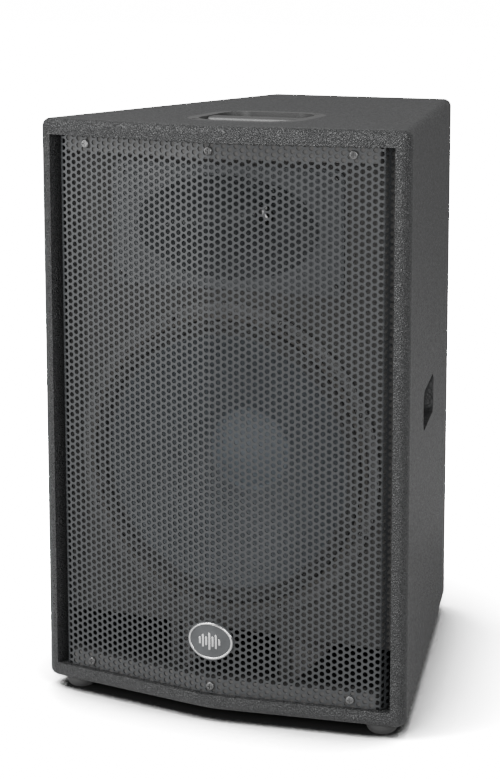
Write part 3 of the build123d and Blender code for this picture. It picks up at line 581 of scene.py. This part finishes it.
def makeCone():
    low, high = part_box("woofer_cone")
    centre = ((low.x + high.x) / 2, low.y, (low.z + high.z) / 2)
    rim = (high.x - low.x) / 2
    neck = woofer["neck"]
    depth = high.y - low.y - woofer["wall"] * 2 - woofer["neckGap"]
    rings = [(rim, rim, 0)]
    inner = rim - woofer["lap"]
    rings.append((inner, inner, 0))
    steps = woofer["ribs"] * 4
    for i in range(1, steps + 1):
        part = i / steps
        radius = inner + (neck - inner) * part
        sink = depth * (part * (1 + woofer["bulge"]) - woofer["bulge"] * part * part)
        rib = woofer["ribHeight"] * max(0, math.cos(math.pi * i / 2)) if part < woofer["ribbedShare"] else 0
        rings.append((radius, radius, sink - rib))
    cone = ringStack(woofer["sides"], centre, rings)
    outward(cone)
    if cone.data.polygons[5].normal.y > 0:
        edit(cone)
        bpy.ops.mesh.select_all(action="SELECT")
        bpy.ops.mesh.flip_normals()
        leave()
    modify(cone, "SOLIDIFY", thickness=woofer["wall"], offset=-1.0)
    smooth(cone, 50)
    return finishPiece(cone, "ribbedCone", "cone_paper", conePart, "woofer_cone")


surround = {
    "sectors": 16,
    "inner": 155 * mm,
    "rollIn": 161 * mm,
    "rollOut": 173 * mm,
    "outer": 178.6 * mm,
    "wall": 0.7 * mm,
    "rollSteps": 12,
    "turnSteps": 8,
    "blendIn": 163 * mm,
    "blendOut": 171.5 * mm,
}


def surroundProfile(top, seat):
    # front skin from the cone's lap over the half-roll to the frame
    g = surround
    middle = (g["rollIn"] + g["rollOut"]) / 2
    half = (g["rollOut"] - g["rollIn"]) / 2
    spots = [(g["inner"], seat)]
    for i in range(g["rollSteps"] + 1):
        angle = math.pi * i / g["rollSteps"]
        spots.append((middle - half * math.cos(angle), seat - (seat - top) * math.sin(angle)))
    spots.append((g["outer"], seat))
    return spots


def makeSurroundSector(number):
    # the ring is built as separate sectors, each covering its own slice of the circle
    g = surround
    low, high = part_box("woofer_surround")
    centre = (low + high) / 2
    profile = surroundProfile(low.y, high.y - g["wall"])
    share = 2 * math.pi / g["sectors"]
    deselect()
    bpy.ops.mesh.primitive_grid_add(x_subdivisions=len(profile) - 1, y_subdivisions=g["turnSteps"], size=1)
    piece = bpy.context.object
    for spot in piece.data.vertices:
        reach, y = profile[round((spot.co.x + 0.5) * (len(profile) - 1))]
        angle = (number + 0.5 + spot.co.y) * share
        spot.co = (reach * math.cos(angle), y, centre.z + reach * math.sin(angle))
    if piece.data.polygons[0].normal.y > 0:
        edit(piece)
        bpy.ops.mesh.select_all(action="SELECT")
        bpy.ops.mesh.flip_normals()
        leave()
    modify(piece, "SOLIDIFY", thickness=g["wall"], offset=-1.0)
    smooth(piece, 60)
    finishPiece(piece, f"surround{number + 1}", "surround_cloth", None, "woofer_surround")
    middle = (number + 0.5) * share
    for reach in (g["blendIn"], g["blendOut"]):
        reach * math.cos(middle)
        centre.z + reach * math.sin(middle)
    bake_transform(piece)


# ---- camera, floor and light ----

view = {
    "place": (0.9407, -2.3406, 0.9157),
    "azimuth": 22.728,
    "drop": 8.794,
    "lens": 92.35,
    "shift": (-0.016, -0.17),
}
studio = {"floor": 0.62, "sky": 0.42, "white": 16.0, "floorWhite": 42.0, "shadow": 0.0, "shadowReach": 0.2}


def makeCamera():
    data = bpy.data.cameras.new("studioCamera")
    camera = bpy.data.objects.new("studioCamera", data)
    bpy.context.collection.objects.link(camera)
    camera.location = view["place"]
    camera.rotation_euler = (math.radians(90 - view["drop"]), 0, math.radians(view["azimuth"]))
    data.lens = view["lens"]
    data.sensor_width = 36
    data.shift_x, data.shift_y = view["shift"]
    data.dof.use_dof = False
    bpy.context.scene.camera = camera


def makeLight(name, place, aim, size, power):
    data = bpy.data.lights.new(name, "AREA")
    data.shape = "RECTANGLE"
    data.size, data.size_y = size
    data.energy = power
    lamp = bpy.data.objects.new(name, data)
    bpy.context.collection.objects.link(lamp)
    lamp.location = place
    lamp.rotation_euler = (Vector(aim) - Vector(place)).to_track_quat("-Z", "Y").to_euler()
    return lamp


def makeStudio():
    world = bpy.data.worlds.new("studioWorld")
    bpy.context.scene.world = world
    world.use_nodes = True
    tree = world.node_tree
    back = tree.nodes["Background"]
    seen = tree.nodes.new("ShaderNodeLightPath")
    level = tree.nodes.new("ShaderNodeMapRange")
    tree.links.new(seen.outputs["Is Camera Ray"], level.inputs[0])
    level.inputs[3].default_value = studio["sky"]
    level.inputs[4].default_value = studio["white"]
    back.inputs["Color"].default_value = (1, 1, 1, 1)
    tree.links.new(level.outputs[0], back.inputs["Strength"])
    deselect()
    bpy.ops.mesh.primitive_plane_add(size=40, location=(0, 0, 0))
    floor = bpy.context.object
    floor.name = "studioFloor"
    f = Finish("paleFloor")
    seenDirect = f.node("ShaderNodeLightPath", out="Is Camera Ray")
    near = f.node("ShaderNodeAmbientOcclusion", {"samples": 8}, {"Distance": studio["shadowReach"]}, "AO")
    shadow = f.ramp(near, 0.3, 1.0, studio["shadow"], 1.0) ** 3.6
    white = f.blend(shadow, grey(0.02), grey(studio["floorWhite"]))
    tone = f.blend(seenDirect, grey(studio["floor"]), white)
    matt = f.node("ShaderNodeBsdfDiffuse", None, {"Color": tone})
    f.node("ShaderNodeOutputMaterial", None, {"Surface": matt}, out=None)
    floor.data.materials.append(f.material)
    makeLight("keyLeft", (-1.75, -2.25, 1.0), (0, -0.2, 0.4), (0.9, 1.7), 47)
    makeLight("softFront", (0.95, -2.3, 1.05), (0, -0.2, 0.36), (0.7, 0.5), 36)
    makeLight("rimTop", (-0.95, -0.95, 2.3), (-0.1, -0.2, 0.7), (0.6, 1.3), 74)
    makeLight("hornSpark", (2.2, -1.0, 0.85), (-0.05, -0.15, 0.58), (0.3, 0.3), 12)
    makeLight("fillRight", (2.5, -0.2, 1.7), (0, 0, 0.5), (1.4, 1.4), 22)
    print("studio ready")


makeCamera()
paintFrame()
for side in (-1, 1):
    makeGrilleHalf(side)
print("grille ready")
makeBadgeRim()
makeBadgeMark()
print("badge ready")
makeCone()
for number in range(surround["sectors"]):
    makeSurroundSector(number)
print("woofer ready")
makeStudio()
